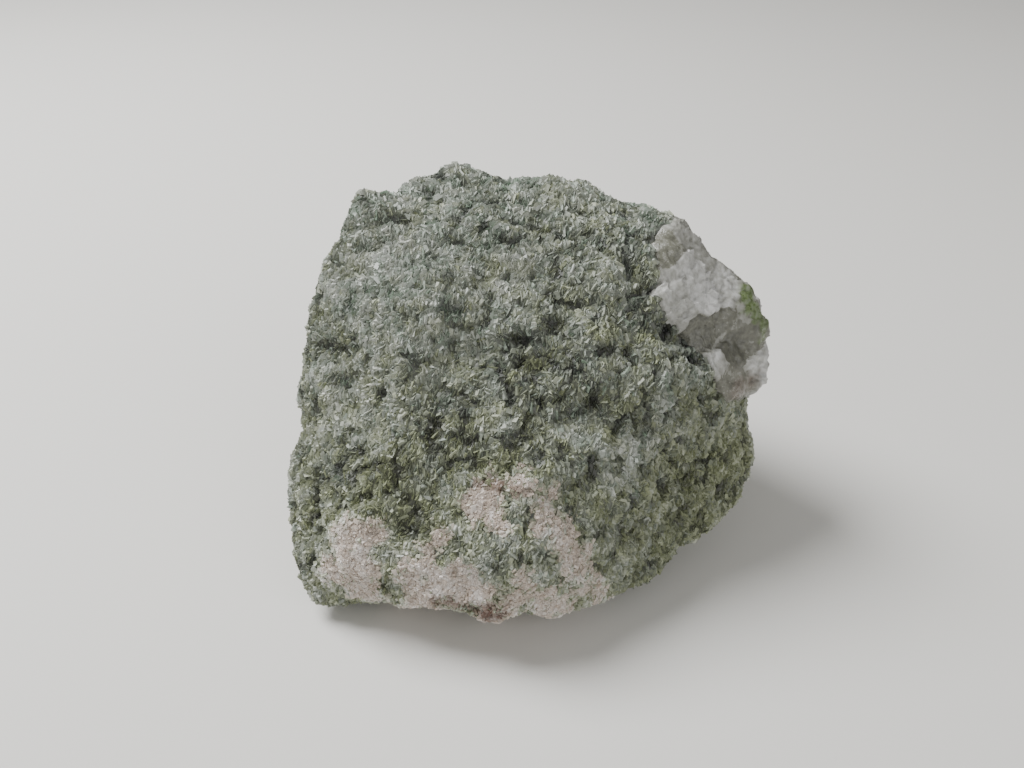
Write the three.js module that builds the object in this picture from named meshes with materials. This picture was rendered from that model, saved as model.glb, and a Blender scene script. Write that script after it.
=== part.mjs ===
// Raw diopside: a hand-sized broken lump of granular diopside rock, grown as one piece and so one solid.
// It has a broad rough face that leans back, a pale calcite band along its foot and a knob of quartz on
// its upper right shoulder. The rest is broken faces, ledges and chips.
//
// Millimetres. X runs to the right along the broad face, Y away from it and Z up. The origin is on the
// resting face, under the middle of the rock.

import * as THREE from "three";
import { ConvexHull } from "three/addons/math/ConvexHull.js";
import { ImprovedNoise } from "three/addons/math/ImprovedNoise.js";
import { TessellateModifier } from "three/addons/modifiers/TessellateModifier.js";
import { mergeVertices } from "three/addons/utils/BufferGeometryUtils.js";

// The point inside the rock that every corner is seen from.
const MIDDLE = new THREE.Vector3(3, 6, 19);

// The rock's corners, where its broken faces meet, as [x, y, z]. The groups follow its sides.
const CREST = [
  [-20, 8.3, 48.3], [-15.7, 9.9, 45.5], [-12.8, 13.2, 47.8], [-8.5, 15.1, 48.1], [-3.1, 14.6, 46.7],
  [-0.1, 14.2, 46.4], [6.3, 13.2, 47.5], [11.6, 12, 45.8], [18.5, 9.1, 44.4],
];
const BROAD_FACE = [
  [-22.9, 5.7, 39.9], [-14.6, 3, 43.2], [-5.3, 4.5, 43.9], [6, 2.5, 43.5], [15.9, 0.5, 41.1], [-27.8, 0, 29],
  [-14.3, -6, 34.9], [-2.7, -5.5, 34.8], [9.5, -7.5, 34.4], [18.4, -6, 32.6], [-28.9, -6.1, 17.6],
  [-21.4, -7, 25], [-13.7, -13, 25], [-0.8, -14, 26.2], [11.8, -15, 24.9], [25.1, -8, 19.3],
];
const PALE_FOOT = [
  [-30.4, -12, 11.4], [-23, -13.5, 17.2], [-20.3, -20, 16.5], [-9.9, -20, 18.3], [0.4, -20, 21.3],
  [9.5, -20.5, 15.6], [19.2, -14.5, 11.3], [-28.8, -18, 5.7], [-19.7, -23, 11], [-8.5, -25.3, 14],
  [0.9, -27, 14.8], [9.5, -24, 10.6], [-26.6, -21.2, 1.6], [-16.4, -23.5, 7.1], [-8.8, -27.3, 8],
  [-1.3, -27.9, 6.8], [6, -24.8, 4.9], [14.9, -19.7, 3.3],
];
const RIGHT_SIDE = [
  [33.9, -4, 12.2], [30.8, -7.9, 7.2], [21.7, -14.9, 3.5], [30.5, 11, 8], [34, 8, 18], [26.5, 3, 3.6],
  [23, -7, 3],
];
const KNOB_OUTLINE = [
  [23, 7.9, 43], [27.3, 6.2, 38.9], [31.6, 3.6, 35.2], [34.2, 0.9, 28.1], [33.2, -1, 23], [31.4, -1, 20.3],
  [31.5, 11, 30],
];
const KNOB_FACES = [
  [19, 2.8, 42.6], [19.6, 0.3, 40.9], [18.5, -2.9, 38.1], [23.4, 1.4, 38.5], [21.9, -3.3, 35], [26.5, -0.3, 33.9],
  [24.8, -2.1, 32.2], [27.8, -0.5, 31.9], [30.7, 0.2, 31.4], [25.5, -4.5, 29.9], [30.9, -0.4, 29.1],
  [32, -1.5, 27.8], [26, -5.6, 28.5], [29.4, -4.6, 24.6],
];
const KNOB_CREASE = [[17.7, -1.6, 38.5], [21, -3.3, 32.3], [23.9, -4.5, 29.2]];
const BACK = [
  [-17, 16.5, 40.5], [-5, 22, 41.5], [9, 22, 39.5], [20.5, 15.5, 38],
  [-26.5, 8, 31], [-19, 14.5, 26], [-8, 28, 29], [7, 26, 32], [18.5, 23.5, 25], [30, 13, 24],
  [-28.5, 6, 14], [-20, 17, 12], [-7, 27, 12], [6, 23.5, 20], [8, 27.5, 12.5], [22, 20.5, 11],
  [-25.5, 6, 5.5], [-17, 19, 4.5], [-3, 24, 3.5], [12, 22, 3],
];
const UNDERSIDE = [[-24.5, -9, 3.2], [-13, -19, 2.4], [1, -20.5, 2], [12, -16, 1.2]];
const RESTING_FACE = [
  [-20, -10], [-20.5, 4], [-11, 15], [2, 18.5], [14, 14], [19, 1], [12, -9], [-1, -15], [-11, -13.5], [0, 0],
].map(([x, y]) => [x, y, 0]);
const CORNERS = [
  CREST, BROAD_FACE, PALE_FOOT, RIGHT_SIDE, KNOB_OUTLINE, KNOB_FACES, KNOB_CREASE, BACK, UNDERSIDE, RESTING_FACE,
].flatMap((side) => side.map((corner) => new THREE.Vector3(...corner)));

// The faces between the corners are halved until no edge is longer than LONGEST_EDGE, which takes fewer rounds
// than MOST_HALVINGS. Points closer together than SAME_POINT are then one.
const LONGEST_EDGE = 2.6;
const MOST_HALVINGS = 12;
const SAME_POINT = 1e-4;

// Chips are small breaks of the faces: each tilts and lifts the stretch of surface that is nearest to it.
const CHIPS = { apart: 7, reach: 42, tilt: 0.2, lift: 0.5, seam: 0.95, seed: 8 };

// Lumps are smooth swellings, one size on top of another. Height is from the middle level, each way.
const LUMPS = [
  { across: 9, height: 0.8 },
  { across: 4.6, height: 0.7 },
  { across: 2.6, height: 0.5 },
];

// Quartz breaks smoother than the granular rock round it: near its middle it has this share of the relief.
const QUARTZ = { middle: new THREE.Vector3(30, 2, 31), inner: 8, outer: 13, share: 0.65 };

// The relief starts just above the resting face, which stays flat, and is full at this height.
const RELIEF = { start: 0.2, full: 3.5 };

const ROCK_COLOUR = "#8b9480";

// The broken faces: each corner is joined to its neighbours as they are seen from the middle.
function brokenFaces() {
  const place = new Map(CORNERS.map((corner) => [corner.clone().sub(MIDDLE).normalize(), corner]));
  const { faces } = new ConvexHull().setFromPoints([...place.keys()]);
  const ring = (face) => [face.edge, face.edge.next, face.edge.next.next];
  const corners = faces.flatMap((face) => ring(face).map((edge) => place.get(edge.head().point)));
  return new THREE.BufferGeometry().setFromPoints(corners);
}

// Chips are centred on a loose grid that fills the whole rock, and the surface meets those nearest to it.
function scatterChips() {
  THREE.MathUtils.seededRandom(CHIPS.seed);
  const either = () => 2 * THREE.MathUtils.seededRandom() - 1;
  const anyWay = (length) => new THREE.Vector3(either(), either(), either()).multiplyScalar(length);
  const count = (2 * CHIPS.reach) / CHIPS.apart + 1;
  const steps = Array.from({ length: count }, (_, i) => i * CHIPS.apart - CHIPS.reach);
  return steps.flatMap((x) => steps.flatMap((y) => steps.map((z) => ({
    at: new THREE.Vector3(x, y, z).add(MIDDLE).add(anyWay(CHIPS.apart / 2)),
    tilt: anyWay(CHIPS.tilt),
    lift: either() * CHIPS.lift,
  }))));
}

// The height that the chips give a point: that of the nearest chip, blended over a narrow seam into the next.
function chipHeight(chips, point) {
  const away = chips.map((chip) => chip.at.distanceTo(point));
  const nearest = Math.min(...away);
  let height = 0;
  let weights = 0;
  chips.forEach((chip, i) => {
    const further = (away[i] - nearest) / CHIPS.seam;
    const weight = Math.exp(-further * further);
    height += weight * (chip.lift + chip.tilt.dot(point) - chip.tilt.dot(chip.at));
    weights += weight;
  });
  return height / weights;
}

function lumpHeight(noise, point) {
  return LUMPS.reduce((sum, { across, height }) => {
    const p = point.clone().divideScalar(across);
    return sum + height * noise.noise(p.x, p.y, p.z);
  }, 0);
}

// The share of the relief that a point gets, from its height over the resting face and its nearness to the quartz.
function reliefShare(point) {
  const raised = THREE.MathUtils.smoothstep(point.z, RELIEF.start, RELIEF.full);
  const away = THREE.MathUtils.smoothstep(QUARTZ.middle.distanceTo(point), QUARTZ.inner, QUARTZ.outer);
  return raised * THREE.MathUtils.lerp(QUARTZ.share, 1, away);
}

function rockGeometry() {
  const faces = brokenFaces();
  const chips = scatterChips();
  const noise = new ImprovedNoise();
  const split = new TessellateModifier(LONGEST_EDGE, MOST_HALVINGS).modify(faces);
  const geometry = mergeVertices(split, SAME_POINT);
  const position = geometry.getAttribute("position");
  const point = new THREE.Vector3();
  for (let i = 0; i < position.count; i += 1) {
    point.fromBufferAttribute(position, i);
    const outward = point.clone().sub(MIDDLE).normalize();
    const height = reliefShare(point) * (chipHeight(chips, point) + lumpHeight(noise, point));
    point.addScaledVector(outward, height);
    position.setXYZ(i, point.x, point.y, Math.max(point.z, 0));
  }

  geometry.computeBoundingBox();
  const under = geometry.boundingBox.getCenter(new THREE.Vector3());
  geometry.translate(-under.x, -under.y, 0);
  geometry.computeVertexNormals();
  return geometry;
}

const rock = new THREE.Mesh(
  rockGeometry(),
  new THREE.MeshStandardMaterial({ color: ROCK_COLOUR, roughness: 0.85, metalness: 0, flatShading: true }),
);
rock.name = "diopside_rock";

const part = new THREE.Group();
part.add(rock);

export default part;
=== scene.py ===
"""Raw diopside: a broken lump of sugary green diopside rock with a pale calcite band and a quartz knob.

The rock's skin is worked out from the solid's own points. Crystals of diopside and calcite are set into it,
and the knob of milky quartz is laid over its shoulder. Sizes are in metres.
"""

import math
from functools import lru_cache
from typing import NamedTuple

import bpy
import numpy as np
from bpy.props import FloatProperty, FloatVectorProperty, IntProperty, PointerProperty
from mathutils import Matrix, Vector
from mathutils.bvhtree import BVHTree


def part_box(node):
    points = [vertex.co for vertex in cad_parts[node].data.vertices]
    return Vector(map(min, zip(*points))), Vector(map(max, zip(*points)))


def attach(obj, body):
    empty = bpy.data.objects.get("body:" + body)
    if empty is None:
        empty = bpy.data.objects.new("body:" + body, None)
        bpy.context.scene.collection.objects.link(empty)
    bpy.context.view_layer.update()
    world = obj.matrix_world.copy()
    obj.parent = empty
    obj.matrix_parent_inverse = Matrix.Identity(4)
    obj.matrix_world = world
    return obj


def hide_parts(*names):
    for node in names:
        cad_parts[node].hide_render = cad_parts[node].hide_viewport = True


bl_info = {
    "name": "Raw Diopside",
    "version": (1, 0, 0),
    "blender": (4, 5, 0),
    "location": "View3D > Sidebar > Diopside",
    "description": "Builds a lump of granular diopside rock with its calcite band and quartz knob",
    "category": "Add Mesh",
}

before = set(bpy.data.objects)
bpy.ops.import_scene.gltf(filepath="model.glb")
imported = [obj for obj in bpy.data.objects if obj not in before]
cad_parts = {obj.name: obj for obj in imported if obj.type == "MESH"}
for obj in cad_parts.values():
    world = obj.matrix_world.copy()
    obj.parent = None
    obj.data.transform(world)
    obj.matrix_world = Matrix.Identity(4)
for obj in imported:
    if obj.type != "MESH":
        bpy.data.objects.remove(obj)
SOLID = "diopside_rock"
LOW, HIGH = (np.array(corner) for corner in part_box(SOLID))
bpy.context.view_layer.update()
MM = 0.001

# The point inside the rock from which the whole of its surface is seen, as shares of its box.
MIDDLE = LOW + (HIGH - LOW) * (0.5123, 0.6044, 0.3938)

# The photo's frame and the camera's focal length in pixels, and where the camera stands.
WIDTH, HEIGHT, FOCAL = 1024, 768, 920
TARGET = Vector((-0.0022, -0.00208, 0.024))
TILT = math.radians(35)
DISTANCE = 0.122

# Where things are on the rock: x, y and radius in pixels of the photo's frame. What the photo doesn't show is
# x, y, z and radius in millimetres.
CALCITE_SEEN = [
    (345, 545, 25), (350, 575, 27), (365, 534, 15), (331, 572, 15), (413, 563, 17), (410, 586, 15),
    (439, 540, 10), (441, 586, 20), (362, 593, 18), (490, 492, 16), (520, 489, 14), (545, 497, 13),
    (480, 512, 16), (497, 524, 12), (548, 523, 17), (565, 540, 19), (577, 563, 17), (588, 586, 16),
    (596, 600, 10), (462, 580, 20), (479, 598, 18), (514, 603, 18), (525, 586, 13), (548, 598, 17),
]
CALCITE_HIDDEN = [
    (-17.5, -22.5, 4.5, 2.6), (-13, -24, 6, 3.5), (-5, -26, 5.5, 3.5), (2, -24, 4.5, 3.5), (-14, -19, 2, 5),
    (-3, -21, 2, 4.5), (6, -19, 2, 3.5), (-29, -9, 5, 3), (-27.5, 1, 7, 3.2), (-24, 8, 9, 3.6),
    (-21, 13, 7, 3),
]
GREEN_SEEN = [
    (478, 545, 11), (497, 551, 13), (515, 556, 11), (530, 560, 8), (523, 508, 5), (516, 520, 6),
    (528, 527, 6), (509, 563, 9), (542, 569, 7), (384, 533, 5), (388, 548, 6), (383, 590, 7), (400, 591, 5),
    (380, 566, 5), (397, 556, 13), (382, 543, 12), (413, 545, 8), (398, 597, 8),
]
RUST_SEEN = [
    (434, 605, 7), (448, 607, 7), (460, 609, 8), (473, 612, 9), (486, 616, 10), (499, 617, 8),
    (483, 485, 6), (492, 487, 6), (501, 489, 6), (514, 492, 5),
]
CRACKS_SEEN = [
    (662, 283, 6), (655, 291, 5), (672, 325, 6), (680, 334, 6), (688, 344, 6), (694, 358, 6), (703, 363, 6),
    (721, 385, 5), (357, 500, 6), (366, 499, 5), (384, 496, 4), (314, 507, 4), (316, 518, 4), (308, 526, 4),
]
# Where the skin stands over or under the solid: x, y, z and reach, and how much higher, in millimetres.
SWELLS = [(-22.5, 9.0, 47.0, 2.5, 0.6), (-15.0, 10.0, 47.5, 3.0, -0.7)]

# The rim of the quartz knob, round its middle: pixels, and then millimetres on the hidden side.
KNOB_RIM_SEEN = [
    (670, 214), (660, 221), (654, 232), (650, 250), (652, 266), (659, 280), (659, 296), (662, 310),
    (670, 319), (678, 326), (688, 340), (696, 353), (709, 362), (714, 378), (720, 392), (728, 404),
    (742, 404),
]
KNOB_RIM_HIDDEN = [(31, 4, 21.5), (30.5, 9, 25), (27.5, 11.5, 31), (23, 12, 37), (20, 11, 41.5)]
# The knob's broken faces: where each is, how it slopes across, back and up, how high it is over the solid in
# millimetres, and how milky it is.
KNOB_FACES_SEEN = [
    (667, 244, 0.1, 0.0, -0.1, -0.3, 0.3),
    (682, 232, 0.0, 0.1, 0.0, 0.0, 0.62),
    (703, 252, 0.0, 0.1, 0.0, 0.05, 0.62),
    (690, 272, 0.0, 0.15, -0.05, 0.2, 0.85),
    (676, 292, 0.1, 0.1, 0.0, 0.05, 0.75),
    (702, 295, 0.05, 0.1, -0.15, 0.35, 0.95),
    (678, 308, 0.1, 0.1, 0.0, 0.05, 0.7),
    (722, 295, -0.1, 0.0, -0.1, 0.2, 0.8),
    (706, 335, -0.1, 0.2, 0.1, -0.5, 0.16),
    (724, 330, 0.1, 0.15, 0.1, -0.4, 0.24),
    (750, 303, 0.0, 0.0, 0.0, 0.25, 0.5),
    (735, 350, 0.1, -0.1, 0.1, -0.15, 0.08),
    (752, 342, 0.0, 0.15, 0.1, 0.1, 0.25),
    (760, 361, 0.15, -0.15, -0.1, 0.1, 0.85),
    (717, 370, 0.0, -0.1, 0.1, 0.1, 0.68),
    (727, 382, 0.0, -0.1, 0.0, -0.1, 0.3),
    (740, 392, 0.0, -0.1, -0.1, 0.0, 0.4),
]
KNOB_FACES_HIDDEN = [
    (30.5, 4, 27, 0.1, 0.1, 0.0, -0.1, 0.6),
    (27, 8, 34, 0.0, 0.1, 0.1, 0.0, 0.5),
    (23.5, 9, 38.5, 0.1, 0.25, 0.0, -0.3, 0.7),
    (20.5, 9, 42, -0.1, 0.2, 0.0, 0.1, 0.45),
    (29, 9, 29, 0.2, -0.1, 0.1, 0.15, 0.8),
    (30.5, 5.5, 23, 0.1, 0.1, -0.2, -0.2, 0.4),
]
# A white healed crack between two of them, from end to end.
KNOB_SEAM_SEEN = [(737, 322), (713, 360)]
KNOB_GREEN_SEEN = [(748, 292, 10), (750, 303, 12), (757, 312, 10), (761, 326, 7), (763, 337, 5)]
KNOB_GREEN_HIDDEN = [(29.5, 5.5, 34, 1.4)]
KNOB_PINK_SEEN = [(740, 392, 14), (752, 382, 9)]
KNOB_PINK_HIDDEN = [(30, 2, 23, 2)]

# Lighter and darker parts of the diopside: x, y and reach in pixels, how much lighter, and how much more
# olive. First the broad parts, and then the plainest spots. They are partly the diopside's own tone and
# partly
# painted light and shade: the upper left lighter and bluer where it faces the light, the band across the
# middle darker where it turns from it, a painted glint at 640, 445, and painted shade and light about the
# knob's foot.
TONE_AND_LIGHT_MARKS_SEEN = [
    (370, 260, 75, 0.09, -0.1), (340, 400, 65, 0.07, 0.0), (460, 200, 60, 0.04, -0.2),
    (650, 330, 50, -0.09, 0.1), (550, 380, 55, -0.07, 0.0), (430, 430, 50, -0.06, 0.1),
    (495, 465, 40, -0.08, 0.4), (380, 480, 45, -0.04, 0.5), (700, 490, 70, -0.04, 0.6),
    (590, 240, 55, -0.02, 0.1),
    (495, 195, 20, -0.1, 0.0), (610, 235, 22, -0.1, 0.0), (645, 265, 22, -0.1, 0.1),
    (510, 275, 22, 0.1, 0.1), (415, 330, 25, 0.08, -0.1), (460, 400, 20, -0.1, 0.0),
    (540, 390, 22, -0.1, 0.0), (430, 435, 18, -0.1, 0.0), (505, 415, 20, 0.08, 0.0),
    (640, 445, 20, 0.16, -0.2), (670, 450, 18, -0.1, 0.0), (740, 450, 30, 0.06, 0.3),
    (425, 525, 20, -0.12, 0.3), (335, 460, 20, -0.08, -0.1), (695, 345, 20, -0.1, 0.0),
    (510, 355, 20, -0.1, 0.0),
]


def seen_at(marks, sized=True):
    """Lays marks of the photo on the solid, in millimetres. A mark's place is where the ray from the camera
    through its pixel first meets the solid, and its radius is its pixels times the distance over the focal
    length."""
    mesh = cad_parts[SOLID].data
    places = [point.co for point in mesh.vertices]
    solid = BVHTree.FromPolygons(places, [face.vertices for face in mesh.polygons])
    back = Vector((0, -math.cos(TILT), math.sin(TILT)))
    up = Vector((0, math.sin(TILT), math.cos(TILT)))
    eye = TARGET + back * DISTANCE
    placed = []
    for x, y, *rest in marks:
        ray = Vector((x - WIDTH / 2, 0, 0)) + up * (HEIGHT / 2 - y) - back * FOCAL
        place = solid.ray_cast(eye, ray)[0]
        if place is None:
            raise ValueError(f"the pixel {x}, {y} isn't on the rock")
        if sized:
            rest[0] *= (eye - place).dot(back) / FOCAL / MM
        placed.append((*(place / MM), *rest))
    return placed


CALCITE = seen_at(CALCITE_SEEN) + CALCITE_HIDDEN
GREEN_IN_CALCITE = seen_at(GREEN_SEEN)
RUST = seen_at(RUST_SEEN)
CRACKS = seen_at(CRACKS_SEEN)
TONE_AND_LIGHT_MARKS = seen_at(TONE_AND_LIGHT_MARKS_SEEN)
KNOB_RIM = seen_at(KNOB_RIM_SEEN, sized=False) + KNOB_RIM_HIDDEN
KNOB_FACES = seen_at(KNOB_FACES_SEEN, sized=False) + KNOB_FACES_HIDDEN
KNOB_SEAM = seen_at(KNOB_SEAM_SEEN, sized=False)
KNOB_GREEN = seen_at(KNOB_GREEN_SEEN) + KNOB_GREEN_HIDDEN
KNOB_PINK = seen_at(KNOB_PINK_SEEN) + KNOB_PINK_HIDDEN


def linear(colour):
    """The linear colour of an sRGB hex value."""
    parts = [int(colour[i : i + 2], 16) / 255 for i in (1, 3, 5)]
    return tuple(c / 12.92 if c <= 0.04045 else ((c + 0.055) / 1.055) ** 2.4 for c in parts)


def tint(colour, share):
    """A colour times a share, or from 1 up, that much more than 1 of the way to white."""
    return [c * share if share < 1 else c + (1 - c) * (share - 1) for c in colour]


# Shape functions.


def smoothstep(x, start, end):
    """0 before start, 1 after end, and between them three times the square less twice the cube."""
    t = np.clip((x - start) / (end - start), 0, 1)
    return t * t * (3 - 2 * t)


# The noise's random slopes: how steep, how many, and the numbers that pick one for each corner of its grid.
NOISE_STEEP = 1.7
NOISE_SLOPES = 1 << 14
NOISE_PICK = (73856093, 19349663, 83492791)


def noise(points, size, seed):
    """Smooth random heights from about -1 to 1: a random slope at each corner of a grid of cubes of that
    size, followed to the point, and blended along each side by a smooth step."""
    slopes = NOISE_STEEP * unit(np.random.default_rng(seed).normal(size=(NOISE_SLOPES, 3)))
    cell = np.floor(points / size).astype(np.int64)
    part = points / size - cell
    blend = smoothstep(part, 0, 1)
    total = np.zeros(len(points))
    for corner in np.ndindex(2, 2, 2):
        x, y, z = ((cell + corner) * NOISE_PICK).T
        slope = slopes[(x ^ y ^ z) & (NOISE_SLOPES - 1)]
        total += np.where(corner, blend, 1 - blend).prod(1) * (slope * (part - corner)).sum(1)
    return total


def unit(rows):
    """Each row divided by its length."""
    return rows / np.linalg.norm(rows, axis=-1, keepdims=True)


def inside(points, balls, edge):
    """How far inside a group of balls each point is: 0 outside, 1 once it is more than edge within any of
    them. The balls are in millimetres, and points and edge in metres."""
    balls = np.array(balls) * MM
    gap = balls[:, 3] - np.linalg.norm(points[:, None] - balls[:, :3], axis=2)
    return smoothstep(gap.max(1), -edge, edge)


def bell(points, anchors, reach):
    """Each anchor's share at each point: a bell curve of their distance, with that reach, summing to 1."""
    square = (points**2).sum(1)[:, None] + (anchors**2).sum(1) - 2 * points @ anchors.T
    share = np.exp((square.min(1, keepdims=True) - square) / reach**2)
    return share / share.sum(1, keepdims=True)


@lru_cache
def solid_shape():
    """The solid's own points from its middle, in millimetres, and for a first and a close reading of its
    surface the values that the bell curves blend back into each point's distance from the middle."""
    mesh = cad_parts[SOLID].data
    flat = np.empty(3 * len(mesh.vertices), np.float32)
    mesh.vertices.foreach_get("co", flat)
    points = (np.unique(flat.reshape(-1, 3).round(7), axis=0) - MIDDLE) / MM
    far = np.linalg.norm(points, axis=1)
    close = far.copy()
    shares = bell(points, points, CLOSE_REACH)
    for _ in range(SHARPENINGS):
        close += far - shares @ close
    return points, far, close


# The bell curves' reach in the first reading, in radians, and in the close one, in millimetres, how often the
# close one's values are corrected, and about how many directions are read at once.
FIRST_REACH = 0.065
CLOSE_REACH = 0.95
SHARPENINGS = 3
ROWS_AT_ONCE = 4096


def distance_from_middle(directions):
    """The solid's distance from its middle in each direction, in metres. It is read twice: first by the angle
    to the solid's points, and then by the distance to them from where the first reading puts the surface."""
    points, far, close = solid_shape()
    found = []
    for rows in np.array_split(directions, len(directions) // ROWS_AT_ONCE + 1):
        first = bell(rows, unit(points), FIRST_REACH) @ far
        found.append(bell(rows * first[:, None], points, CLOSE_REACH) @ close)
    return np.concatenate(found) * MM


def moved(points, size, far, seeds):
    """The points moved a little, each way by a noise of its own. Size and far are in millimetres."""
    return points + np.stack([noise(points, size * MM, seed) for seed in seeds], 1) * far * MM


# The sizes of the patches' two noises in millimetres, and the share of the finer one.
PATCH_SIZE, FINE_PATCH_SIZE, FINE_PATCH_SHARE = 2.2, 1.1, 0.65


def patches_at(points):
    """Patches of about 2 to 4 mm, from about -1 to 1: two sizes of noise, read at places that a third one
    moves. The lowest are pits between clumps of crystals."""
    places = moved(points, 3, 0.9, (5, 6, 7))
    return noise(places, PATCH_SIZE * MM, 1) + FINE_PATCH_SHARE * noise(places, FINE_PATCH_SIZE * MM, 2)


def marked(points, marks):
    """The sum at each point of the marks' values, each one times a bell curve of the distance from its mark.
    A mark is x, y, z and reach in millimetres, and then its values."""
    marks = np.array(marks)
    square = ((points[:, None] / MM - marks[:, :3]) ** 2).sum(2)
    return np.exp(-square / marks[:, 3] ** 2) @ marks[:, 4:]


# The skin in millimetres: its fine lumps and their size, how deep its cracks are and how soft their edges,
# and how far it lies under the surface for the crystals and for the quartz.
FINE_LUMPS, FINE_LUMP_SIZE = 0.08, 0.7
CRACK_DEPTH, CRACK_EDGE = 0.7, 0.3
UNDER_CRYSTALS, UNDER_QUARTZ = 0.27, 2.2
# Where pits start and are full, as patches below 0, and where the skin starts to sink inside the knob's rim
# and is at its deepest, as shares of the way to the knob's middle.
PIT_RANGE = (0.05, 0.7)
SINKING_RANGE = (0.03, 0.2)


def skin_height(points, patches, clump, pit):
    """The skin's height over the solid's own surface: a little below it, so that the crystals' tips reach it,
    up on the clumps, down in the pits and cracks, and deep under the quartz. It comes back to the surface at
    the resting face."""
    fine = FINE_LUMPS * noise(points, FINE_LUMP_SIZE * MM, 4)
    lumps = clump * patches + (fine + marked(points, SWELLS)[:, 0]) * MM
    cracks = CRACK_DEPTH * MM * inside(points, CRACKS, CRACK_EDGE * MM)
    holes = pit * smoothstep(-patches, *PIT_RANGE) + cracks
    under_quartz = UNDER_QUARTZ * MM * smoothstep(quartz_depth(points), *SINKING_RANGE)
    height = lumps - holes - under_quartz - UNDER_CRYSTALS * MM
    return height * smoothstep(points[:, 2], 0.1 * MM, 2 * MM)


def cube_ball(parts):
    """Directions on a ball as six square grids, each side cut into parts by equal angles, and their squares
    as rows of four point numbers. Points that two grids share are one."""
    line = np.tan(np.linspace(-math.pi / 4, math.pi / 4, parts + 1))
    u, v = np.meshgrid(line, line)
    one = np.ones_like(u)
    sides = [(one, u, v), (-one, -u, v), (-u, one, v), (u, -one, v), (-v, u, one), (v, u, -one)]
    every = unit(np.stack([np.stack(side, -1) for side in sides]).reshape(-1, 3))
    _, first, number = np.unique(every.round(6), axis=0, return_index=True, return_inverse=True)
    number = number.reshape(6, parts + 1, parts + 1)
    squares = [number[:, :-1, :-1], number[:, :-1, 1:], number[:, 1:, 1:], number[:, 1:, :-1]]
    return every[first], np.stack(squares, -1).reshape(-1, 4)


# Where things are.


# How soft the rims of the calcite and of the green in it are, in millimetres, and how far the green and the
# specks of diopside thin the calcite out.
CALCITE_EDGE, GREEN_EDGE = 1.6, 0.8
GREEN_THINS, SPECKS_THIN = 0.85, 0.65


def calcite_at(points):
    """The share of calcite at each point, from 0 to 1. Its rim is ragged and a few grains wide, and specks of
    diopside show in it."""
    ragged = moved(points, 1.9, 1.2, (20, 21, 22))
    green = inside(ragged, GREEN_IN_CALCITE, GREEN_EDGE * MM)
    share = inside(ragged, CALCITE, CALCITE_EDGE * MM) * (1 - GREEN_THINS * green)
    specks = smoothstep(noise(points, 1.4 * MM, 24), 0.05, 0.55)
    share = smoothstep(share + 0.5 * noise(points, 0.9 * MM, 23), 0.05, 0.8) * smoothstep(share, 0.02, 0.12)
    return share * (1 - SPECKS_THIN * specks)


# The diopside's middle tone, and how much each thing changes it: the patches, a broad and a smaller noise
# with their sizes in millimetres, pits, cracks, and nearness to the calcite band. The patches are lighter on
# the clumps and darker toward the pits, partly as painted shade, and the pits and cracks are darkened by
# painted shade.
TONE_MIDDLE = 0.555
TONE_PATCHES, PIT_SHADE, CRACK_SHADE, TONE_BAND = 0.12, 0.12, 0.3, 0.07
TONE_BROAD, TONE_BROAD_SIZE = 0.07, 6
TONE_SMALL, TONE_SMALL_SIZE = 0.06, 3.5
# The same for its hue, which is bluer up the rock.
HUE_AT_FOOT, HUE_UP, HUE_BAND = 0.62, 0.6, 0.35
HUE_BROAD, HUE_BROAD_SIZE = 0.3, 6
HUE_SMALL, HUE_SMALL_SIZE = 0.7, 1.8


def tone_at(points, patches):
    """The diopside's tone, from 0, nearly black, to 1, nearly white, and its hue, from -1, bluish, to 1,
    olive: broad changes, patches, painted shade in the pits and cracks, and marks that are partly painted
    light and shade."""
    # The marks are partly the diopside's own tone and partly painted light and shade.
    lighter, more_olive = marked(points, TONE_AND_LIGHT_MARKS).T
    broad, small = noise(points, TONE_BROAD_SIZE * MM, 11), noise(points, TONE_SMALL_SIZE * MM, 12)
    tone = TONE_MIDDLE + lighter + TONE_PATCHES * patches + TONE_BROAD * broad + TONE_SMALL * small
    # Painted shade darkens the pits and the cracks.
    tone -= PIT_SHADE * smoothstep(-patches, 0.1, 0.7) + CRACK_SHADE * inside(points, CRACKS, 0.4 * MM)
    band = inside(points, CALCITE, 3 * MM)
    tone += TONE_BAND * band
    height = (points[:, 2] - LOW[2]) / (HIGH[2] - LOW[2])
    hue = HUE_AT_FOOT - HUE_UP * height + HUE_BAND * band + more_olive
    broad, small = noise(points, HUE_BROAD_SIZE * MM, 13), noise(points, HUE_SMALL_SIZE * MM, 14)
    hue += HUE_BROAD * broad + HUE_SMALL * small
    return tone, hue


@lru_cache
def knob_axes():
    """The direction of the knob's middle and two directions square to it."""
    outward = unit(unit(np.array(KNOB_RIM) * MM - MIDDLE).mean(0))
    side = unit(np.cross(outward, (0, 0, 1)))
    return outward, side, np.cross(outward, side)


def knob_polar(directions):
    """The angle of each direction from the knob's middle, and which way round it lies."""
    outward, side, up = knob_axes()
    angle = np.arccos(np.clip(directions @ outward, -1, 1))
    return angle, np.arctan2(directions @ up, directions @ side)


# Three waves that make the knob's rim ragged: how high each is, how many of it go round, and where it starts.
RIM_WAVES = [(0.02, 11, 1), (0.018, 23, 0), (0.014, 47, 2)]


def knob_reach(way):
    """How far the knob's rim is from its middle, each way round: straight between the rim's points, made
    ragged by three waves."""
    angle, ways = knob_polar(unit(np.array(KNOB_RIM) * MM - MIDDLE))
    order = np.argsort(ways)
    ragged = sum(height * np.sin(count * way + start) for height, count, start in RIM_WAVES)
    return np.interp(way, ways[order], angle[order], period=2 * math.pi) * (1 + ragged)


def quartz_depth(points):
    """How far inside the knob's rim each point is, as a share of the way from the rim to the knob's middle.
    It is below 0 outside the rim."""
    angle, way = knob_polar(unit(points - MIDDLE))
    return 1 - angle / knob_reach(way)


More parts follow.
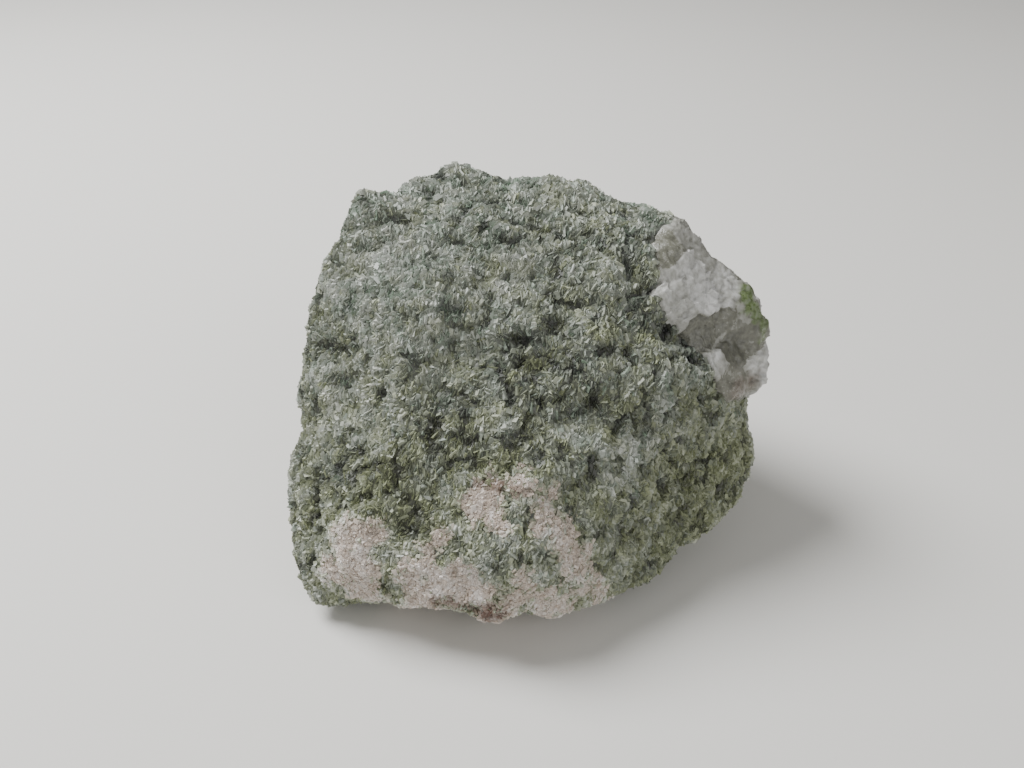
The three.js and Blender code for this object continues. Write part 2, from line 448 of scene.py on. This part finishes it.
# The knob's small broken faces: how far apart they are and how far they step up or down, in millimetres, how
# steep they are, how high the noise on them is, and the share of all this where the quartz is clear.
SMALL_APART, SMALL_STEP, SMALL_SLOPE, SMALL_NOISE, CLEAR_SHARE = 1.2, 0.12, 0.2, 0.16, 0.15
# How far the seam reaches each way, in millimetres, and how much milkier the quartz is there.
SEAM_REACH, SEAM_MILK = 0.35, 0.5


def knob_breaks(points):
    """The quartz's height over the solid's surface, and how milky it is. Each point takes the height, slope
    and milkiness of the nearest of the knob's broken faces, and the heights and slopes of many small ones,
    which are flatter where it is clear. Milky quartz is sugary too, and whiter along the seam."""
    ragged = points / MM + np.stack([noise(points, 1.4 * MM, seed) for seed in (62, 63, 64)], 1) * 0.6
    faces = np.array(KNOB_FACES)
    nearest = faces[((ragged[:, None] - faces[:, :3]) ** 2).sum(2).argmin(1)]
    height = nearest[:, 6] + ((points / MM - nearest[:, :3]) * nearest[:, 3:6]).sum(1)
    milk = nearest[:, 7]
    rng = np.random.default_rng(61)
    low, high = ragged.min(0), ragged.max(0)
    middles = rng.uniform(low, high, (int(np.prod((high - low) / SMALL_APART)), 3))
    small = nearest_of(ragged, middles)
    steps = rng.normal(0, SMALL_STEP, len(middles))[small]
    steps += ((ragged - middles[small]) * rng.normal(0, SMALL_SLOPE, middles.shape)[small]).sum(1)
    steps += SMALL_NOISE * noise(points, 0.5 * MM, 65)
    start, end = np.array(KNOB_SEAM)
    along = np.clip((ragged - start) @ (end - start) / ((end - start) ** 2).sum(), 0, 1)
    gap = np.linalg.norm(ragged - start - along[:, None] * (end - start), axis=1)
    height = (height + steps * (CLEAR_SHARE + (1 - CLEAR_SHARE) * milk)) * MM
    return height, milk + SEAM_MILK * np.exp(-((gap / SEAM_REACH) ** 2))


def nearest_of(points, anchors):
    """The number of the anchor nearest to each point."""
    return ((anchors**2).sum(1) - 2 * points @ anchors.T).argmin(1)


# Crystals.


class Form(NamedTuple):
    """A crystal's corners as shares of half its length, width and depth, its faces, and its faces' corners in
    its own square of the map."""

    corners: list
    faces: list
    map: list


def oblong(left, low, right, high):
    """A rectangle's corners in a map."""
    return [(left, low), (right, low), (right, high), (left, high)]


# A wedge of two cleavage faces that meet in a ridge, as diopside breaks.
WEDGE = Form(
    corners=[(-1, -1, -1), (1, -1, -1), (1, 1, -1), (-1, 1, -1), (-0.85, 0, 1), (0.85, 0, 1)],
    faces=[(0, 1, 5, 4), (2, 3, 4, 5), (3, 0, 4), (1, 2, 5), (0, 3, 2, 1)],
    map=[
        oblong(0.05, 0.35, 0.45, 0.95),
        oblong(0.55, 0.35, 0.95, 0.95),
        oblong(0.05, 0.05, 0.3, 0.3)[:3],
        oblong(0.38, 0.05, 0.62, 0.3)[:3],
        oblong(0.7, 0.05, 0.95, 0.3),
    ],
)

# A block with six cleavage faces, as calcite breaks.
BLOCK = Form(
    corners=[(x, y, z) for x in (-1, 1) for y in (-1, 1) for z in (-1, 1)],
    faces=[(0, 1, 3, 2), (4, 6, 7, 5), (0, 4, 5, 1), (2, 3, 7, 6), (0, 2, 6, 4), (1, 5, 7, 3)],
    map=[oblong(0.03 + x / 3, 0.05 + y / 2, 0.3 + x / 3, 0.45 + y / 2) for x in range(3) for y in range(2)],
)


class Grain(NamedTuple):
    """What one kind of crystal is like: how many, its mean size, how far its long side turns from up the
    slope and its top leans, in radians, and how far it stands over the skin, with how much of its top is
    drawn in."""

    form: Form
    count: int
    size: tuple
    turn: float
    lean: float
    stand: float
    taper: tuple


# How far a crystal's top is moved aside and how far each corner is out of place, as shares of its size.
TOP_ASIDE, UNEVEN = 0.22, 0.06
# The way that crystals' long sides run, and how much that varies.
UP_THE_ROCK, WAY_SPREAD = np.array((0.12, 0.05, 1.0)), 0.05
# How much their length, width and depth vary, with limits, as powers of e.
SIZE_SPREAD, SIZE_LIMITS = (0.32, 0.25, 0.2), (-0.6, 0.5)
# How much their height over the skin varies, and the share of their depth that is sunk in it.
STAND_SPREAD, SUNK_SHARE = 0.8, 0.3
# The lowest that a crystal's corner comes, and the lowest skin that crystals stand on, in millimetres.
LOWEST_CORNER, LOWEST_SKIN = 0.03, 0.4
# How much darker the skin between the diopside's crystals is: painted shade in the gaps between them.
PAINTED_GAP_SHADE = 0.14


def crystal_corners(form, size, axes, rng, taper):
    """The corners of many crystals about their own middles: the form's corners times each one's half size,
    with the top drawn in and moved aside, every corner moved a little, and all turned onto its three axes."""
    corners = np.array(form.corners, float)
    shape = corners * size[:, None] / 2
    top = corners[:, 2] > 0
    shape[:, top, :2] *= 1 - rng.uniform(*taper, (len(size), 1, 2))
    shape[:, top, 1] += rng.uniform(-TOP_ASIDE, TOP_ASIDE, (len(size), 1)) * size[:, 1:2]
    shape += rng.normal(0, UNEVEN, shape.shape) * size[:, None]
    return np.einsum("nci,nij->ncj", shape, axes)


@lru_cache
def read_skin():
    """The finished skin's points, the directions in which they face, its squares and their areas."""
    mesh = bpy.data.objects["rock_skin"].data
    squares = np.empty(4 * len(mesh.polygons), np.int32)
    area = np.empty(len(mesh.polygons))
    points, normals = np.empty((2, 3 * len(mesh.vertices)))
    mesh.polygons.foreach_get("vertices", squares)
    mesh.polygons.foreach_get("area", area)
    mesh.vertices.foreach_get("co", points)
    mesh.vertex_normals.foreach_get("vector", normals)
    return points.reshape(-1, 3), normals.reshape(-1, 3), squares.reshape(-1, 4), area


def skin_number(name):
    """A number that is stored at each of the skin's points."""
    values = bpy.data.objects["rock_skin"].data.attributes[name].data
    numbers = np.empty(len(values))
    values.foreach_get("value", numbers)
    return numbers


def set_grains(name, grain, wanted, material, seed):
    """Sets crystals into the skin, spread in even steps of its area times wanted. Their long sides run up the
    slope, give or take a turn. Gives the piece, a function that reads a number of the skin's at each crystal,
    and the random numbers' source."""
    rng = np.random.default_rng(seed)
    points, normals, squares, area = read_skin()
    count = grain.count
    steps = np.cumsum(area * wanted[squares].mean(1))
    square = squares[np.searchsorted(steps, (np.arange(count) + rng.random(count)) / count * steps[-1])]
    u, v = rng.random((2, count))
    share = np.stack([(1 - u) * (1 - v), u * (1 - v), u * v, (1 - u) * v], 1)
    normal = unit((normals[square] * share[..., None]).sum(1))
    up = unit(normal + rng.normal(0, grain.lean, normal.shape))
    slope = UP_THE_ROCK + rng.normal(0, WAY_SPREAD, up.shape)
    slope = unit(slope - up * (slope * up).sum(1, keepdims=True))
    turn = rng.normal(0, grain.turn, (count, 1))
    along = slope * np.cos(turn) + np.cross(up, slope) * np.sin(turn)
    size = np.array(grain.size) * np.exp(np.clip(rng.normal(0, SIZE_SPREAD, (count, 3)), *SIZE_LIMITS))
    axes = np.stack([along, np.cross(up, along), up], 1)
    stand = grain.stand * rng.normal(1, STAND_SPREAD, (count, 1)) - size[:, 2:] * SUNK_SHARE
    centre = (points[square] * share[..., None]).sum(1) + normal * stand
    corners = centre[:, None] + crystal_corners(grain.form, size, axes, rng, grain.taper)
    corners[..., 2] = np.maximum(corners[..., 2], LOWEST_CORNER * MM)
    start = (np.arange(count) * len(grain.form.corners))[:, None]
    faces = [face for kind in grain.form.faces for face in (start + np.array(kind)).tolist()]
    piece = add_piece(name, np.clip(corners.reshape(-1, 3), LOW, HIGH), faces, [material])
    across = math.ceil(math.sqrt(count))
    cell = np.stack(np.divmod(np.arange(count), across), 1)[:, None]
    spots = np.concatenate([(cell + np.array(spot)).reshape(-1, 2) for spot in grain.form.map]) / across
    piece.data.uv_layers.new(name="OFBake").data.foreach_set("uv", spots.astype(np.float32).ravel())
    return piece, lambda number: (skin_number(number)[square] * share).sum(1), rng


def clear_skin():
    """1 at the skin's points that crystals may stand on: clear of the quartz and of the resting face."""
    return (1 - skin_number("quartz")) * (read_skin()[0][:, 2] > LOWEST_SKIN * MM)


def set_crystal_values(piece, **values):
    """Stores each crystal's numbers at all of its corners."""
    corners = len(piece.data.vertices)
    set_values(piece, **{name: np.repeat(each, corners // len(each)) for name, each in values.items()})


# Meshes.


def add_piece(name, points, faces, materials, smooth=False):
    """Makes a mesh object of a finished piece, riding on the rock's one body."""
    mesh = bpy.data.meshes.new(name)
    mesh.from_pydata(points, [], faces, shade_flat=not smooth)
    for material in materials:
        mesh.materials.append(material)
    piece = bpy.data.objects.new(name, mesh)
    bpy.context.scene.collection.objects.link(piece)
    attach(piece, "root")
    return piece


def set_values(piece, **values):
    """Stores one number a point under each name, for the piece's material to read."""
    for name, numbers in values.items():
        stored = piece.data.attributes.new(name, "FLOAT", "POINT")
        stored.data.foreach_set("value", numbers.astype(np.float32))


# Materials.

# The shades of a grain's own colour, as shares for tint, at each tone.
GRAIN_SHADES = {0.0: 0.026, 0.2: 0.13, 0.4: 0.5, 0.55: 1.0, 0.75: 1.23, 1.0: 1.55}
CALCITE_SHADES = {0.0: 0.18, 0.25: 0.52, 0.5: 1.0, 0.75: 1.33, 1.0: 1.6}


def add(tree, kind, inputs=(), **settings):
    """Adds one node with its settings. Inputs are values for its sockets, or other nodes' sockets to link."""
    node = tree.nodes.new(kind)
    for name, value in settings.items():
        setattr(node, name, value)
    for name, value in dict(inputs).items():
        if isinstance(value, bpy.types.NodeSocket):
            tree.links.new(value, node.inputs[name])
        else:
            node.inputs[name].default_value = value
    return node


def add_ramp(tree, factor, stops):
    """Adds a ramp with a colour at each of its stops, and gives its colour socket."""
    ramp = add(tree, "ShaderNodeValToRGB", {"Fac": factor})
    ramp.color_ramp.elements.remove(ramp.color_ramp.elements[1])
    ramp.color_ramp.elements[0].position = min(stops)
    for position in sorted(stops)[1:]:
        ramp.color_ramp.elements.new(position)
    for element, position in zip(ramp.color_ramp.elements, sorted(stops)):
        element.color = (*stops[position], 1)
    return ramp.outputs["Color"]


def add_mix(tree, factor, first, second):
    """Adds a blend of two colours, and gives its colour socket."""
    return add(tree, "ShaderNodeMix", {"Factor": factor, 6: first, 7: second}, data_type="RGBA").outputs[2]


def new_material(name):
    """An empty material with its node tree, its shader and its output."""
    material = bpy.data.materials.new(name)
    material.use_nodes = True
    tree = material.node_tree
    return material, tree, tree.nodes["Principled BSDF"]


@lru_cache
def granular_diopside():
    """Sugary diopside, broken through its grains: glassy cleavage faces, grey-green to nearly black."""
    material, tree, shader = new_material("granular_diopside")
    colours = bpy.context.scene.colours
    place = add(tree, "ShaderNodeTexCoord")
    tone = add(tree, "ShaderNodeAttribute", attribute_name="tone").outputs["Fac"]
    hue = add(tree, "ShaderNodeAttribute", attribute_name="hue").outputs["Fac"]
    # Cleavage steps and cloudy spots inside a grain are about 0.3 mm apart.
    cloud = add(tree, "ShaderNodeTexNoise", {
        "Vector": place.outputs["Object"], "Scale": 3300, "Detail": 3,
    }).outputs["Fac"]
    spread = add(tree, "ShaderNodeMath", {0: cloud, 1: 0.28, 2: -0.14}, operation="MULTIPLY_ADD")
    mixed = add(tree, "ShaderNodeMath", {0: tone, 1: spread.outputs[0]}, operation="ADD").outputs[0]
    grey, olive, bluish = (
        add_ramp(tree, mixed, {stop: tint(colour, share) for stop, share in GRAIN_SHADES.items()})
        for colour in (colours.diopside, colours.olive, colours.bluish)
    )
    to_olive = add(tree, "ShaderNodeMath", {0: hue, 1: 0.0}, operation="MAXIMUM", use_clamp=True)
    to_bluish = add(tree, "ShaderNodeMath", {0: hue, 1: -1.0}, operation="MULTIPLY", use_clamp=True)
    colour = add_mix(tree, to_bluish.outputs[0], add_mix(tree, to_olive.outputs[0], grey, olive), bluish)
    rough = add(tree, "ShaderNodeMath", {0: cloud, 1: 0.4, 2: 0.38}, operation="MULTIPLY_ADD")
    bump = add(tree, "ShaderNodeBump", {"Height": cloud, "Strength": 0.4, "Distance": 0.0001})
    tree.links.new(colour, shader.inputs["Base Color"])
    tree.links.new(rough.outputs[0], shader.inputs["Roughness"])
    tree.links.new(bump.outputs["Normal"], shader.inputs["Normal"])
    shader.inputs["IOR"].default_value = 1.68
    return material


@lru_cache
def sugary_calcite():
    """Sugary calcite: pinkish-white grains that light soaks into a little, mixed with pale green ones at the
    band's rim and stained brown here and there."""
    material, tree, shader = new_material("sugary_calcite")
    colours = bpy.context.scene.colours
    place = add(tree, "ShaderNodeTexCoord")
    tone = add(tree, "ShaderNodeAttribute", attribute_name="tone").outputs["Fac"]
    moss = add(tree, "ShaderNodeAttribute", attribute_name="moss").outputs["Fac"]
    rust = add(tree, "ShaderNodeAttribute", attribute_name="rust").outputs["Fac"]
    # Cloudy spots inside a grain are about 0.4 mm apart.
    cloud = add(tree, "ShaderNodeTexNoise", {
        "Vector": place.outputs["Object"], "Scale": 2200, "Detail": 3,
    }).outputs["Fac"]
    spread = add(tree, "ShaderNodeMath", {0: cloud, 1: 0.3, 2: -0.15}, operation="MULTIPLY_ADD")
    mixed = add(tree, "ShaderNodeMath", {0: tone, 1: spread.outputs[0]}, operation="ADD").outputs[0]
    pinkish, greenish = (
        add_ramp(tree, mixed, {stop: tint(colour, share) for stop, share in CALCITE_SHADES.items()})
        for colour in (colours.calcite, colours.calcite_green)
    )
    stained = add_mix(tree, rust, add_mix(tree, moss, pinkish, greenish), (*colours.rust, 1))
    rough = add(tree, "ShaderNodeMath", {0: cloud, 1: 0.3, 2: 0.3}, operation="MULTIPLY_ADD")
    tree.links.new(stained, shader.inputs["Base Color"])
    tree.links.new(rough.outputs[0], shader.inputs["Roughness"])
    shader.inputs["IOR"].default_value = 1.6
    shader.inputs["Subsurface Weight"].default_value = 0.3
    shader.inputs["Subsurface Radius"].default_value = (1, 0.9, 0.8)
    shader.inputs["Subsurface Scale"].default_value = 0.6 * MM
    return material


@lru_cache
def milky_quartz():
    """Milky quartz: grey-white and sugary where it is milky, and darker and glassy where it is clear."""
    material, tree, shader = new_material("milky_quartz")
    colours = bpy.context.scene.colours
    place = add(tree, "ShaderNodeTexCoord")
    milk = add(tree, "ShaderNodeAttribute", attribute_name="milk").outputs["Fac"]
    green = add(tree, "ShaderNodeAttribute", attribute_name="green").outputs["Fac"]
    pink = add(tree, "ShaderNodeAttribute", attribute_name="pink").outputs["Fac"]
    # Clouds and healed cracks in the quartz are about 0.7 mm across.
    cloud = add(tree, "ShaderNodeTexNoise", {
        "Vector": place.outputs["Object"], "Scale": 1400, "Detail": 6, "Roughness": 0.6,
    }).outputs["Fac"]
    spread = add(tree, "ShaderNodeMath", {0: cloud, 1: 1.3, 2: -0.65}, operation="MULTIPLY_ADD")
    mixed = add(tree, "ShaderNodeMath", {0: milk, 1: spread.outputs[0]}, operation="ADD").outputs[0]
    milky = add_ramp(tree, mixed, {
        0.0: tint(colours.quartz_clear, 0.55),
        0.3: colours.quartz_clear,
        0.65: colours.quartz,
        0.85: tint(colours.quartz, 1.3),
        1.0: tint(colours.quartz, 1.6),
    })
    blush, moss = (
        add_ramp(tree, cloud, {0.3: tint(colour, 0.5), 0.5: colour, 0.7: tint(colour, 1.25)})
        for colour in (colours.quartz_pink, colours.quartz_green)
    )
    colour = add_mix(tree, green, add_mix(tree, pink, milky, blush), moss)
    rough = add(tree, "ShaderNodeMath", {0: mixed, 1: 0.3, 2: 0.15}, operation="MULTIPLY_ADD")
    bump = add(tree, "ShaderNodeBump", {"Height": cloud, "Strength": 0.6, "Distance": 0.0003})
    tree.links.new(colour, shader.inputs["Base Color"])
    tree.links.new(rough.outputs[0], shader.inputs["Roughness"])
    tree.links.new(bump.outputs["Normal"], shader.inputs["Normal"])
    shader.inputs["IOR"].default_value = 1.544
    shader.inputs["Transmission Weight"].default_value = 0.3
    return material


@lru_cache
def pale_floor():
    """A plain pale matt surface."""
    material, _, shader = new_material("pale_floor")
    shader.inputs["Base Color"].default_value = (*bpy.context.scene.colours.floor, 1)
    shader.inputs["Roughness"].default_value = 0.8
    return material


# Settings.


class RockSettings(bpy.types.PropertyGroup):
    skin_parts: IntProperty(
        name="Skin parts",
        description="Squares along each side of the skin's six grids",
        default=120,
        min=8,
        max=128,
    )
    clump: FloatProperty(
        name="Clumps",
        description="How far the clumps of crystals stand up",
        default=0.16 * MM,
        unit="LENGTH",
    )
    pit: FloatProperty(
        name="Pits",
        description="How deep the pits between them are",
        default=0.22 * MM,
        unit="LENGTH",
    )


def colour_property(name, description, colour):
    """A colour that a user can change."""
    return FloatVectorProperty(
        name=name, description=description, default=linear(colour), subtype="COLOR", min=0, max=1
    )


class ColourSettings(bpy.types.PropertyGroup):
    diopside: colour_property("Diopside", "Middle shade of the diopside", "#83897e")
    olive: colour_property("Olive diopside", "Middle shade of the diopside where it is olive", "#848a69")
    bluish: colour_property("Bluish diopside", "Middle shade of the diopside where it is bluish", "#768b76")
    calcite: colour_property("Calcite", "Middle shade of the calcite", "#bcad9f")
    calcite_green: colour_property("Green calcite", "Middle shade of the calcite near diopside", "#979c86")
    rust: colour_property("Stain", "The brown stains on the calcite", "#4a2a14")
    quartz: colour_property("Milky quartz", "The quartz where it is milky", "#b4b4ad")
    quartz_clear: colour_property("Clear quartz", "The quartz where it is clear", "#7e7e71")
    quartz_green: colour_property("Green in quartz", "Middle shade of the diopside in the quartz", "#6c7f4b")
    quartz_pink: colour_property("Pink in quartz", "Middle shade of the calcite in the quartz", "#857c70")
    floor: colour_property("Floor", "The floor", "#d9d8d4")


class GrainSettings(bpy.types.PropertyGroup):
    diopside: FloatVectorProperty(
        name="Diopside",
        description="Mean length, width and depth of the diopside crystals",
        default=(0.84 * MM, 0.47 * MM, 0.46 * MM),
        subtype="XYZ",
        unit="LENGTH",
    )
    calcite: FloatVectorProperty(
        name="Calcite",
        description="Mean length, width and depth of the calcite grains",
        default=(0.62 * MM, 0.52 * MM, 0.45 * MM),
        subtype="XYZ",
        unit="LENGTH",
    )
    count: IntProperty(
        name="Crystals",
        description="Crystals in each piece of diopside",
        default=24500,
        max=24900,
    )
    calcite_count: IntProperty(
        name="Calcite grains",
        description="Grains in the calcite band",
        default=12000,
        max=16000,
    )


class StageSettings(bpy.types.PropertyGroup):
    tilt: FloatProperty(
        name="Tilt",
        description="How far the view looks down",
        default=TILT,
        subtype="ANGLE",
    )
    distance: FloatProperty(
        name="Distance",
        description="From the camera to where it looks",
        default=DISTANCE,
        subtype="DISTANCE",
    )
    floor: FloatProperty(
        name="Floor",
        description="Length of the floor's sides",
        default=8.0,
        subtype="DISTANCE",
    )


# Pieces.


class MINERAL_OT_rock_skin(bpy.types.Operator):
    """Makes the rock's broken skin, which stands for its solid"""

    bl_idname = "mineral.rock_skin"
    bl_label = "Rock Skin"

    def execute(self, context):
        directions, squares = cube_ball(context.scene.rock.skin_parts)
        bare = MIDDLE + directions * distance_from_middle(directions)[:, None]
        patches = patches_at(bare)
        height = skin_height(bare, patches, context.scene.rock.clump, context.scene.rock.pit)
        points = np.clip(bare + directions * height[:, None], LOW, HIGH)
        skin = add_piece("rock_skin", points, squares, [granular_diopside(), sugary_calcite()], smooth=True)
        calcite = calcite_at(bare)
        skin.data.polygons.foreach_set("material_index", (calcite[squares].mean(1) > 0.5).astype(np.int32))
        tone, hue = tone_at(bare, patches)
        set_values(
            skin,
            # Under the diopside the skin is darker by painted shade in the gaps between the crystals, which
            # the crystals leave out.
            tone=np.where(calcite > 0.5, 0.4, tone - PAINTED_GAP_SHADE),
            hue=hue,
            patches=patches,
            height=bare[:, 2] / HIGH[2],
            calcite=calcite,
            quartz=(quartz_depth(bare) > 0.02).astype(float),
            rust=inside(bare, RUST, 0.7 * MM),
        )
        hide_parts(SOLID)
        return {"FINISHED"}


class MINERAL_OT_diopside_grains(bpy.types.Operator):
    """Sets the diopside's crystals into the skin: pale ones on clumps, green ones, and dark ones crowded into
    pits as painted shade
    """

    bl_idname = "mineral.diopside_grains"
    bl_label = "Diopside Crystals"

    def execute(self, context):
        grains = context.scene.grains
        patches = skin_number("patches")
        open_skin = (1 - skin_number("calcite")) * clear_skin()
        pits = smoothstep(-patches, -0.1, 0.6)
        # The dark crystals crowd into the pits and the pale ones keep to the clumps, as painted shade in the
        # hollows.
        kinds = (
            ("diopside_pale", 1.1 - pits, 0.055, 0.12, 31),
            ("diopside_green", 1 + 0 * pits, 0.0, 0.08, 32),
            ("diopside_dark", 0.35 + pits, -0.08, 0.02, 33),
        )
        for name, wanted, lighter, stand, seed in kinds:
            grain = Grain(
                form=WEDGE,
                count=grains.count,
                size=tuple(grains.diopside),
                turn=0.6,
                lean=0.22,
                stand=stand * MM,
                taper=(0, 0.3),
            )
            piece, at, rng = set_grains(name, grain, open_skin * wanted, granular_diopside(), seed)
            tone = at("tone") + PAINTED_GAP_SHADE + lighter + 0.08 * at("calcite")
            tone += rng.normal(0, 0.043, grains.count)
            hue = at("hue") + rng.normal(0, 0.3, grains.count)
            set_crystal_values(piece, tone=tone, hue=hue)
        return {"FINISHED"}


class MINERAL_OT_calcite_grains(bpy.types.Operator):
    """Sets the calcite band's grains into the skin"""

    bl_idname = "mineral.calcite_grains"
    bl_label = "Calcite Grains"

    def execute(self, context):
        grains = context.scene.grains
        wanted = skin_number("calcite") * clear_skin()
        grain = Grain(
            form=BLOCK,
            count=grains.calcite_count,
            size=tuple(grains.calcite),
            turn=2.0,
            lean=0.3,
            stand=0.06 * MM,
            taper=(0.15, 0.5),
        )
        piece, at, rng = set_grains("calcite_grains", grain, wanted, sugary_calcite(), 41)
        # The grains are lighter on the clumps and darker toward the pits, as painted shade that follows the
        # relief.
        tone = 0.64 - 0.35 * at("height") + 0.2 * at("patches") + rng.normal(0, 0.07, grain.count)
        mossy = smoothstep(1 - at("calcite") + rng.normal(0, 0.15, grain.count), 0.25, 0.95)
        set_crystal_values(piece, tone=tone, moss=mossy, rust=at("rust") * rng.uniform(0.65, 1, grain.count))
        return {"FINISHED"}


# The knob's rings and turns of points, how far its rim is sunk, and how thick it is at its rim and how much
# thicker in its middle, in millimetres.
KNOB_RINGS, KNOB_TURNS = 70, 180
RIM_SUNK, RIM_THICK, MORE_THICK = 0.9, 0.6, 2.6


class MINERAL_OT_quartz_knob(bpy.types.Operator):
    """Lays the quartz knob over the rock's shoulder, as a closed lens with flat broken faces"""

    bl_idname = "mineral.quartz_knob"
    bl_label = "Quartz Knob"

    def execute(self, context):
        outward, side, up = knob_axes()
        round_it = np.linspace(-math.pi, math.pi, KNOB_TURNS, endpoint=False)
        way, share = np.meshgrid(round_it, np.linspace(0, 1, KNOB_RINGS + 1)[1:])
        angle = (share * knob_reach(way))[..., None]
        around = np.cos(way)[..., None] * side + np.sin(way)[..., None] * up
        flat = (np.cos(angle) * outward + np.sin(angle) * around).reshape(-1, 3)
        directions = np.concatenate([outward[None], flat])
        share = np.concatenate([[0], share.ravel()])
        bare = MIDDLE + directions * distance_from_middle(directions)[:, None]
        edge = smoothstep(share, 0.9, 1.0)
        height, milk = knob_breaks(bare)
        height = height * (1 - edge) - RIM_SUNK * MM * edge
        depth = (RIM_THICK + MORE_THICK * (1 - smoothstep(share, 0.6, 1.0))) * MM + 0.5 * MM * edge
        top = np.clip(bare + directions * height[:, None], LOW, HIGH)
        points, faces = close_lens(top, bare - directions * depth[:, None], KNOB_RINGS, KNOB_TURNS)
        knob = add_piece("quartz_knob", points, faces, [milky_quartz()], smooth=True)
        ragged = points + noise(points, 0.8 * MM, 51)[:, None] * 0.7 * MM
        set_values(
            knob,
            milk=np.tile(milk, 2),
            green=inside(ragged, KNOB_GREEN, 0.5 * MM),
            pink=inside(ragged, KNOB_PINK, 0.8 * MM),
        )
        return {"FINISHED"}


def close_lens(top, under, rings, turns):
    """Joins two discs of rings, each with its middle point first, into one closed shell along their rims."""
    count = len(top)
    ring = 1 + np.arange(rings * turns).reshape(rings, turns)
    after = np.roll(ring, -1, 1)
    quads = np.stack([ring[:-1], ring[1:], after[1:], after[:-1]], -1).reshape(-1, 4)
    fan = np.stack([np.zeros(turns, int), ring[0], after[0]], -1)
    rim = np.stack([ring[-1], ring[-1] + count, after[-1] + count, after[-1]], -1)
    sheet = [*quads.tolist(), *fan.tolist()]
    back = [*(quads[:, ::-1] + count).tolist(), *(fan[:, ::-1] + count).tolist()]
    return np.concatenate([top, under]), [*sheet, *back, *rim.tolist()]


# Each light's place and width in metres and its power in watts, and the point that all of them face.
LIGHTS = {
    "soft_key": ((-0.28, 0.12, 0.42), 0.3, 4.8),
    "soft_fill": ((0.35, -0.4, 0.3), 0.5, 1.2),
}
LIT_POINT = Vector((0, 0, 0.02))
# The soft light from all sides, and the nearest that the camera sees, in metres.
ROOM_COLOUR, ROOM_STRENGTH = "#e8e6e2", 0.43
NEAREST_SEEN = 0.005


class MINERAL_OT_stage(bpy.types.Operator):
    """Makes the pale floor, the soft lights and the camera"""

    bl_idname = "mineral.stage"
    bl_label = "Stage"

    def execute(self, context):
        stage = context.scene.stage
        mesh = bpy.data.meshes.new("floor")
        corners = np.array([(-1, -1, 0), (1, -1, 0), (1, 1, 0), (-1, 1, 0)]) * stage.floor / 2
        mesh.from_pydata(corners, [], [(0, 1, 2, 3)])
        mesh.materials.append(pale_floor())
        floor = bpy.data.objects.new("floor", mesh)
        context.scene.collection.objects.link(floor)
        for name, (place, size, power) in LIGHTS.items():
            light = bpy.data.lights.new(name, "AREA")
            light.shape = "DISK"
            light.size = size
            light.energy = power
            lamp = bpy.data.objects.new(name, light)
            lamp.location = place
            lamp.rotation_euler = (LIT_POINT - lamp.location).to_track_quat("-Z", "Y").to_euler()
            context.scene.collection.objects.link(lamp)
        world = bpy.data.worlds.new("soft_room")
        world.use_nodes = True
        background = world.node_tree.nodes["Background"]
        background.inputs["Color"].default_value = (*linear(ROOM_COLOUR), 1)
        background.inputs["Strength"].default_value = ROOM_STRENGTH
        context.scene.world = world
        lens = bpy.data.cameras.new("camera")
        lens.lens = FOCAL / WIDTH * lens.sensor_width
        lens.clip_start = NEAREST_SEEN
        camera = bpy.data.objects.new("camera", lens)
        back = Vector((0, -math.cos(stage.tilt), math.sin(stage.tilt)))
        camera.location = TARGET + back * stage.distance
        camera.rotation_euler = (-back).to_track_quat("-Z", "Y").to_euler()
        context.scene.collection.objects.link(camera)
        context.scene.camera = camera
        return {"FINISHED"}


class MINERAL_PT_raw_diopside(bpy.types.Panel):
    """Lists the rock's pieces and their sizes"""

    bl_label = "Raw Diopside"
    bl_idname = "MINERAL_PT_raw_diopside"
    bl_space_type = "VIEW_3D"
    bl_region_type = "UI"
    bl_category = "Diopside"

    def draw(self, context):
        scene = context.scene
        for settings, names in (
            (scene.rock, ("skin_parts", "clump", "pit")),
            (scene.grains, ("diopside", "calcite", "count", "calcite_count")),
            (scene.colours, ("diopside", "olive", "bluish", "calcite", "calcite_green", "rust")),
            (scene.colours, ("quartz", "quartz_clear", "quartz_green", "quartz_pink", "floor")),
            (scene.stage, ("tilt", "distance", "floor")),
        ):
            for name in names:
                self.layout.prop(settings, name)
        for operator in OPERATORS:
            self.layout.operator(operator.bl_idname)


SETTINGS = {"rock": RockSettings, "grains": GrainSettings, "colours": ColourSettings, "stage": StageSettings}
OPERATORS = (
    MINERAL_OT_rock_skin,
    MINERAL_OT_diopside_grains,
    MINERAL_OT_calcite_grains,
    MINERAL_OT_quartz_knob,
    MINERAL_OT_stage,
)


def register():
    for kind in (*SETTINGS.values(), *OPERATORS, MINERAL_PT_raw_diopside):
        bpy.utils.register_class(kind)
    for name, kind in SETTINGS.items():
        setattr(bpy.types.Scene, name, PointerProperty(type=kind))


def unregister():
    for name in SETTINGS:
        delattr(bpy.types.Scene, name)
    for kind in (MINERAL_PT_raw_diopside, *reversed(OPERATORS), *reversed(SETTINGS.values())):
        bpy.utils.unregister_class(kind)


def main():
    register()
    bpy.ops.mineral.rock_skin()
    bpy.ops.mineral.diopside_grains()
    bpy.ops.mineral.calcite_grains()
    bpy.ops.mineral.quartz_knob()
    bpy.ops.mineral.stage()


if __name__ == "__main__":
    main()
